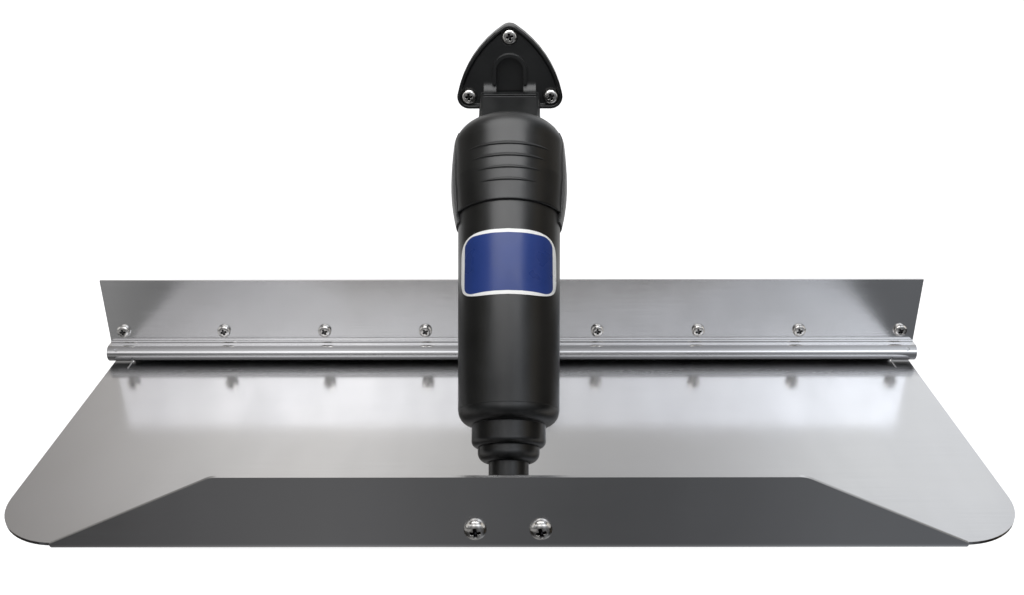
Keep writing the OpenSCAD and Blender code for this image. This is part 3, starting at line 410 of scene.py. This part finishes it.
finishes = {
    "stainless_sheet": stainless_sheet(),
    "stainless_rod": drawn_steel("drawn rod", (0.62, 0.62, 0.63), 0.24),
    "screw_steel": drawn_steel("screw steel", (0.82, 0.80, 0.77), 0.20),
    "spring_steel": drawn_steel("spring wire", (0.50, 0.50, 0.52), 0.30),
}
print("steel finishes:", sorted(finishes))

# %% [markdown]
# The actuator is moulded in black plastic with a fine satin texture. Its colour is hardly above black, and
# nearly all that the eye sees is the soft reflection, so the gloss changes slowly over the surface and the
# texture is a very shallow relief. Real mouldings have no sharp edge either: light turns round a small
# radius there.

# %% Moulded and machined finishes
BLACK = ((0.003, 0.0033, 0.0033), (0.0055, 0.006, 0.006))
RUBBER = ((0.010, 0.010, 0.010), (0.022, 0.022, 0.022))
IVORY = ((0.70, 0.68, 0.63), (0.82, 0.80, 0.76))
BRASS = ((0.50, 0.36, 0.15), (0.80, 0.62, 0.30))


def satin_plastic(name, tints, gloss, sheen=0.5, edge=0.0):
    """Moulded plastic: a fine spark-eroded grain, slow changes of gloss, and edges of a small radius."""
    material, tree, shader = start_material(name)
    grain = blotches(tree, 2600.0, detail=2.0)
    flow = blotches(tree, 45.0)
    soft = None
    if edge:
        soft = add(tree, "ShaderNodeBevel", {"Radius": edge}, samples=6).outputs["Normal"]
    fill(tree, shader, {
        "Base Color": blend(tree, flow, *tints),
        "Roughness": spread(tree, flow, gloss - 0.05, gloss + 0.05),
        "Specular IOR Level": sheen,
        "Normal": relief(tree, grain, 0.03 * MM, soft),
    })
    return material


def machined_brass():
    """Turned brass with faint tool lines and a brown bloom."""
    material, tree, shader = start_material("machined brass")
    lines = blotches(tree, 700.0, (0.3, 1.0, 1.0))
    fill(tree, shader, {
        "Base Color": blend(tree, blotches(tree, 220.0), *BRASS),
        "Metallic": 1.0,
        "Roughness": spread(tree, lines, 0.20, 0.34),
    })
    return material


finishes["black_moulding"] = satin_plastic("black moulding", BLACK, 0.34, sheen=0.7, edge=0.6 * MM)
finishes["seal_rubber"] = satin_plastic("seal rubber", RUBBER, 0.62)
finishes["acetal"] = satin_plastic("acetal", IVORY, 0.38)
finishes["brass_fitting"] = machined_brass()
print("all finishes:", sorted(finishes))

# %% [markdown]
# The label on the barrel is blank: a blue printed field inside a white border. The border has to follow the
# label's own edge, which no noise can know, so the label's mesh will carry each point's distance from its
# edge, in millimetres, and the finish reads that.

# %% Label print
BORDER_MM = 2.2
PRINT_BLUR_MM = 0.06
BLUE, PAPER = (0.010, 0.028, 0.135), (0.78, 0.78, 0.76)


def label_print():
    """Glossy print: white where the edge distance is under the border's width, blue beyond."""
    material, tree, shader = start_material("label print")
    edge = add(tree, "ShaderNodeAttribute", attribute_name="edge_mm").outputs["Fac"]
    inside = spread(tree, edge, 0.0, 1.0, BORDER_MM - PRINT_BLUR_MM, BORDER_MM + PRINT_BLUR_MM)
    fade = blotches(tree, 40.0)
    lighter = tuple(1.5 * c for c in BLUE)
    fill(tree, shader, {
        "Base Color": blend(tree, inside, PAPER, blend(tree, fade, BLUE, lighter)),
        "Roughness": spread(tree, fade, 0.26, 0.36),
        "Normal": relief(tree, blotches(tree, 900.0), 0.01 * MM),
    })
    return material


finishes["label_print"] = label_print()
print("label: border of", BORDER_MM, "mm")

# %% [markdown]
# Each solid knows its material slot from the record, so one loop dresses them all. A photographer keeps a
# lamp off a piece with a card. Here a lamp has a list of what it lights: the soft box has the black
# mouldings, the label and the screws, and the side panels have the sheet metal and the screws.

# %% Dress the solids
slot_of = {row["node"]: row["material_slot"] for row in frame["record"]["subparts"]}
under_box = bpy.data.collections.new("under the soft box")
between_panels = bpy.data.collections.new("between the side panels")
for name, solid in nodes.items():
    solid.data.materials.clear()
    solid.data.materials.append(finishes[slot_of[name]])
    if slot_of[name] == "black_moulding":
        under_box.objects.link(solid)
    if slot_of[name] == "stainless_sheet":
        between_panels.objects.link(solid)
soft_box.light_linking.receiver_collection = under_box
for panel in panels:
    panel.light_linking.receiver_collection = between_panels
print("dressed:", len(slot_of), "solids with", len(finishes), "finishes")

# %% [markdown]
# The small pieces below are surfaces worked out on a grid: one parameter runs along a profile, the other
# round an axis. All points come from whole arrays, so the only list is the one of faces, and one helper
# turns any such grid into a closed mesh with its faces outwards. It also puts the piece on its body in
# place of the plain solid.

# %% Surfaces from grids
def corners_of(node):
    """All different corner points of a solid, as rows of x, y and z."""
    mesh = nodes[node].data
    points = np.empty(3 * len(mesh.vertices))
    mesh.vertices.foreach_get("co", points)
    return np.unique(points.reshape(-1, 3).round(6), axis=0)


def grid_faces(rows, around, ring):
    """Quads between the rows of a grid that closes round each row, and in a ring also end to end."""
    number = np.arange(rows * around).reshape(rows, around)
    ahead = np.roll(number, -1, axis=0) if ring else number[1:]
    behind = number if ring else number[:-1]
    quads = np.stack([behind, np.roll(behind, -1, 1), np.roll(ahead, -1, 1), ahead], axis=-1)
    caps = [] if ring else [number[0, ::-1].tolist(), number[-1].tolist()]
    return quads.reshape(-1, 4).tolist() + caps


def volume(points, quads):
    """Six times a closed grid's volume: each quad's two corner products, summed; below 0 if inside out."""
    a, b, c, d = (points[quads[:, k]] for k in range(4))
    return np.einsum("ij,ij->", a, np.cross(b, c)) + np.einsum("ij,ij->", a, np.cross(c, d))


def make_piece(name, copies, node, ring=False, sharp=35.0):
    """Mesh of one or more grids (rows, around, xyz), dressed, on the node's body and in its place."""
    rows, around = copies[0].shape[:2]
    faces = grid_faces(rows, around, ring)
    quads = np.array([face for face in faces if len(face) == 4])
    first = copies[0].reshape(-1, 3)
    if volume(first - first.mean(0), quads) < 0:
        faces = [face[::-1] for face in faces]
    step = rows * around
    placed = [[corner + i * step for corner in face] for i in range(len(copies)) for face in faces]
    mesh = bpy.data.meshes.new(name)
    mesh.from_pydata(np.concatenate([copy.reshape(-1, 3) for copy in copies]).tolist(), [], placed)
    mesh.polygons.foreach_set("use_smooth", np.ones(len(mesh.polygons), dtype=bool))
    mesh.set_sharp_from_angle(angle=math.radians(sharp))
    mesh.materials.append(finishes[slot_of[node]])
    piece = bpy.data.objects.new(name, mesh)
    scene.collection.objects.link(piece)
    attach(piece, nodes[node]["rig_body"])
    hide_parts(node)
    print(name, "x", len(copies), "with", len(mesh.polygons), "faces")
    return piece


def bands(points, gap=4 * MM):
    """Splits points into groups along x wherever neighbours are more than a gap apart."""
    ordered = points[points[:, 0].argsort()]
    return np.split(ordered, np.flatnonzero(np.diff(ordered[:, 0]) > gap) + 1)


def axes_about(forward):
    """Columns of a frame with z against a direction in the y-z plane and x along the span."""
    back = -np.asarray(forward, dtype=float)
    return np.stack([np.array([1.0, 0, 0]), np.cross(back, [1.0, 0, 0]), back], axis=1)


def off_axis(points, middle):
    """Distance of each point from the line along z through the middle."""
    return np.hypot(*(points[:, :2] - middle[:2]).T)


print("grid helpers ready")

# %% [markdown]
# The screws are pan heads with a cross recess. A modelled thread could be swept along a helix, but a screw
# is also a round bar whose radius rises and falls with the angle and the height together, so one formula
# gives head, recess, thread and point. Places, lengths and thicknesses are read from the plain solids.

# %% Pan-head screws
HEAD_SHARE = 0.34
HEAD_ROWS = np.linspace(0.1, 1, 30) ** 1.5
BLADE_W, BLADE_LEN, BLADE_DEPTH, BLADE_WALL = 0.15, 0.48, 0.70, 0.03
# Blade share from which a recess point gets its full painted shade.
RECESS_SHADE_FULL = 0.1
THREAD_DEPTH = 0.24
ROWS_PER_PITCH = 9
TIP_SHARE = 0.12
SCREW_SIDES = 48
SPINS = (0.08, 0.25, 0.42, 0.59)
DROOP = math.radians(1.5)
LEVEL_FORWARD = np.array([0.0, 1.0, 0.0])
PLANE_FORWARD = np.array([0.0, math.cos(DROOP), math.sin(DROOP)])


def blade(along, across):
    """One blade of the recess: 1 in the middle, falling off at its walls and, as a cube, at its ends."""
    wall = ((BLADE_W / 2 - np.abs(across)) / BLADE_WALL).clip(0, 1)
    return wall * (1 - (np.abs(along) / (BLADE_LEN / 2)) ** 3).clip(0, 1)


def pan_screw(head_d, shank_r, length, pitch, grip, point, power):
    """Screw about z with its seat at 0 and its head up, and each point's share of painted shade in the
    recess.

    Head: superellipse dome, sin(a) and cos(a) to the power 2/power, less a cross of two blades.
    Shank: radius less a share that falls and rises once a pitch, shifted by the angle, and narrowed in
    the point.
    """
    turn = np.linspace(0, 2 * np.pi, SCREW_SIDES, endpoint=False)[None, :]
    a = np.radians(90 * HEAD_ROWS)[:, None]
    dome_r = head_d / 2 * np.sin(a) ** (2 / power) + 0 * turn
    dome_z = HEAD_SHARE * head_d * np.cos(a).clip(0) ** (2 / power) + 0 * turn
    x, y = dome_r * np.cos(turn) / head_d, dome_r * np.sin(turn) / head_d
    recess = np.maximum(blade(x, y), blade(y, x))
    dome_z = dome_z - BLADE_DEPTH * HEAD_SHARE * head_d * recess
    thread_rows = int(ROWS_PER_PITCH * (length - grip) / pitch)
    z = -np.concatenate([[0.0], np.linspace(grip, length, thread_rows)])[:, None]
    tooth = 0.5 + 0.5 * np.cos(2 * np.pi * (z / pitch - turn / (2 * np.pi)))
    run_in = ((-z - grip) / pitch).clip(0, 1)
    narrowing = ((length + z) / point).clip(TIP_SHARE, 1) if point else 1.0
    shank = shank_r * narrowing * (1 - THREAD_DEPTH * (1 - run_in * tooth))
    radius = np.concatenate([dome_r, shank])
    height = np.concatenate([dome_z, z + 0 * turn])
    # Share of painted shade on each head point, full a little way into the recess.
    recess_shade = np.concatenate([(recess / RECESS_SHADE_FULL).clip(0, 1), 0 * shank])
    return np.stack([radius * np.cos(turn), radius * np.sin(turn), height], axis=-1), recess_shade


def place_screws(node, forward, pitch, point_share, power):
    """One screw for each group of the node's points, along a direction, each recess turned anew."""
    columns = axes_about(forward)
    copies = []
    for i, points in enumerate(bands(corners_of(node))):
        local = points @ columns
        low, high = local.min(0), local.max(0)
        head_d = high[0] - low[0]
        middle = np.array([low[0] + high[0], low[1] + high[1], 0.0]) / 2
        seat = high[2] - HEAD_SHARE * head_d
        length = seat - low[2]
        shank_r = off_axis(local[local[:, 2] < seat - 0.5 * length], middle).max()
        neck = local[np.abs(off_axis(local, middle) - shank_r) < 1e-5][:, 2].max()
        screw, recess_shade = pan_screw(head_d, shank_r, length, pitch, seat - neck, point_share * shank_r, power)
        sine, cosine = math.sin(SPINS[i % 4]), math.cos(SPINS[i % 4])
        turned = screw @ np.array([[cosine, sine, 0], [-sine, cosine, 0], [0, 0, 1]])
        copies.append((turned + middle + [0, 0, seat]) @ columns.T)
    piece = make_piece(node + "_threaded", copies, node)
    under_box.objects.link(piece)
    between_panels.objects.link(piece)
    # Each point's share of painted shade in the recess, read by the screw finish.
    recess_shades = np.tile(recess_shade.ravel(), len(copies)).astype(np.float32)
    piece.data.attributes.new("recess", "FLOAT", "POINT").data.foreach_set("value", recess_shades)


place_screws("plate_screws", LEVEL_FORWARD, pitch=1.8 * MM, point_share=2.0, power=4.2)
place_screws("upper_hinge_screws", LEVEL_FORWARD, pitch=1.8 * MM, point_share=2.0, power=4.2)
place_screws("flange_screws", PLANE_FORWARD, pitch=1.3 * MM, point_share=0.0, power=2.4)

# %% [markdown]
# The flange screws are held by lock nuts: a hexagon whose corners are turned off at both ends, and a round
# collar over the locking insert. The corner chamfer needs no modelling tool: it is the smaller of two
# radii, the hexagon's and a cone's, at each angle and height.

# %% Lock nuts
NUT_SIDES = 72
BODY_SHARE = 0.7
BODY_LEVELS = np.array([0.0, 0.0, 0.05, 0.1, 0.5, 0.9, 0.95, 1.0, 1.0])[:, None]
CHAMFER_R, CHAMFER_SLOPE = 0.47, 1.7
COLLAR_R, COLLAR_ROUND = 0.42, 0.06


def lock_nut(flats, bore_r, height):
    """Nut about z from 0 to its height: the smaller of hexagon and chamfer cone, then collar and bore."""
    turn = np.linspace(0, 2 * np.pi, NUT_SIDES, endpoint=False)[None, :]
    side = flats / 2 / np.cos(np.mod(turn + np.pi / 6, np.pi / 3) - np.pi / 6)
    body_h = BODY_SHARE * height
    level = BODY_LEVELS * body_h
    cone = CHAMFER_R * flats + CHAMFER_SLOPE * np.minimum(level, body_h - level)
    wall = np.minimum(side, cone)
    wall[0] = bore_r
    wall[-1] = COLLAR_R * flats
    bend = np.radians(np.linspace(0, 90, 7))[:, None]
    round_r = COLLAR_ROUND * flats
    collar_r = COLLAR_R * flats - round_r * (1 - np.cos(bend)) + 0 * turn
    collar_z = height - round_r + round_r * np.sin(bend) + 0 * turn
    inner_r = np.full((2, 1), bore_r) + 0 * turn
    inner_z = np.array([[height], [height / 2]]) + 0 * turn
    radius = np.concatenate([wall, collar_r, inner_r])
    tall = np.concatenate([level + 0 * turn, collar_z, inner_z])
    return np.stack([radius * np.cos(turn), radius * np.sin(turn), tall], axis=-1)


def place_nuts(node):
    """One nut for each group of the node's points, with its collar away from the screw's head."""
    columns = axes_about(-PLANE_FORWARD)
    copies = []
    for points in bands(corners_of(node)):
        local = points @ columns
        low, high = local.min(0), local.max(0)
        middle = np.array([low[0] + high[0], low[1] + high[1], 0.0]) / 2
        nut = lock_nut(high[0] - low[0], off_axis(local, middle).min(), high[2] - low[2])
        copies.append((nut + middle + [0, 0, low[2]]) @ columns.T)
    make_piece("flange_lock_nuts", copies, node, ring=True)


place_nuts("flange_nuts")

# %% [markdown]
# The label and the return spring belong to the actuator, which leans. Its frame comes from the joints: the
# swing gives the upper pin and the slide gives the rod's direction.

# %% Actuator's frame
joints = {joint["name"]: joint for joint in frame["joints"]}
upper_pin = np.array(joints["actuator_swing"]["pos_m"])
rod_down = np.array(joints["rod_slide"]["axis"])
actuator_axes = axes_about(rod_down)


def to_actuator(points):
    """Part's frame to the actuator's: z up along the rod from the upper pin, -y towards the stern."""
    return (points - upper_pin) @ actuator_axes


def from_actuator(points):
    """Actuator's frame back to the part's."""
    return points @ actuator_axes.T + upper_pin


# %% [markdown]
# The label is a rounded field wrapped on the barrel's cone. Rings of one superellipse, shrunk towards the
# middle, give its front; the same rings on a smaller radius give its back, so it is a closed skin.

# %% Label
LABEL_POWER = 5.0
LABEL_CORNER = 8 * MM
LABEL_SIDES = 128
LABEL_RINGS = np.linspace(0.03, 1.0, 30)[:, None]
END_ZONE = 0.5 * MM


def wrapped_label(half_w, half_h, middle_z, outer_r, slope, thickness):
    """Rings of a superellipse |x/w|^n + |z/h|^n = s^n, laid on a cone.

    There y is minus the root of r squared less x squared, and r grows with z by the cone's slope.
    """
    turn = np.linspace(0, 2 * np.pi, LABEL_SIDES, endpoint=False)[None, :]
    share = np.concatenate([LABEL_RINGS, LABEL_RINGS[::-1]])
    sunk = np.concatenate([0 * LABEL_RINGS, 0 * LABEL_RINGS + thickness])
    x = half_w * share * np.sign(np.cos(turn)) * np.abs(np.cos(turn)) ** (2 / LABEL_POWER)
    z = half_h * share * np.sign(np.sin(turn)) * np.abs(np.sin(turn)) ** (2 / LABEL_POWER)
    radius = outer_r + slope * z - sunk
    return np.stack([x, -np.sqrt(radius ** 2 - x ** 2), z + middle_z], axis=-1)


def edge_distance(across, up, half_w, half_h, corner):
    """How far inside a rectangle with rounded corners a point is, from the nearest edge or corner arc."""
    q = np.stack([np.abs(across) - half_w + corner, np.abs(up) - half_h + corner])
    return corner - np.hypot(*q.clip(0)) - q.max(0).clip(None, 0)


def make_label(node):
    """Measures the plain label in the actuator's frame and wraps the printed one in its place."""
    local = to_actuator(corners_of(node))
    low, high = local.min(0), local.max(0)
    half_w, half_h = (high[0] - low[0]) / 2, (high[2] - low[2]) / 2
    middle_z = (high[2] + low[2]) / 2
    radius = np.hypot(local[:, 0], local[:, 1])
    top_r = radius[local[:, 2] > high[2] - END_ZONE].max()
    foot = radius[local[:, 2] < low[2] + END_ZONE]
    slope = (top_r - foot.max()) / (2 * half_h)
    thickness = foot.max() - foot.min()
    grid = wrapped_label(half_w, half_h, middle_z, (top_r + foot.max()) / 2, slope, thickness)
    piece = make_piece("blank_label", [from_actuator(grid)], node)
    under_box.objects.link(piece)
    reach = edge_distance(grid[..., 0], grid[..., 2] - middle_z, half_w, half_h, LABEL_CORNER) / MM
    values = reach.ravel().astype(np.float32)
    piece.data.attributes.new("edge_mm", "FLOAT", "POINT").data.foreach_set("value", values)


make_label("barrel_label")

# %% [markdown]
# The return spring sits inside the barrel, between the piston and a washer. It is a round profile carried
# along a helix whose rise is slow at both ends, where the last turns lie flat. On the real part the spring
# is pressed together towards its washer when the rod comes out; here the coil keeps one shape.

# %% Return spring
SPRING_TURNS = 8.0
FLAT_TURNS = 0.9
ROWS_PER_TURN = 30
WIRE_SIDES = 14


def coil(mean_r, wire_r, low, high):
    """Circle of the wire's radius along a helix that rises a wire's thickness a turn at its flat ends."""
    along = np.linspace(0, SPRING_TURNS, int(SPRING_TURNS * ROWS_PER_TURN) + 1)[:, None]
    turn = 2 * np.pi * along
    flat_rise = 2 * wire_r * FLAT_TURNS
    rise = np.interp(
        along,
        [0, FLAT_TURNS, SPRING_TURNS - FLAT_TURNS, SPRING_TURNS],
        [low, low + flat_rise, high - flat_rise, high],
    )
    across = np.linspace(0, 2 * np.pi, WIRE_SIDES, endpoint=False)[None, :]
    radius = mean_r + wire_r * np.cos(across)
    return np.stack([radius * np.cos(turn), radius * np.sin(turn), rise + wire_r * np.sin(across)], axis=-1)


def make_spring(node):
    """Measures the plain spring in the actuator's frame and coils the new one between the same ends."""
    local = to_actuator(corners_of(node))
    low, high = local[:, 2].min(), local[:, 2].max()
    radius = np.hypot(local[:, 0], local[:, 1])
    wire_r = (radius.max() - radius.min()) / 4
    grid = coil((radius.max() + radius.min()) / 2, wire_r, low + wire_r, high - wire_r)
    piece = make_piece("coiled_return_spring", [from_actuator(grid)], node)
    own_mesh(piece)


make_spring("return_spring")
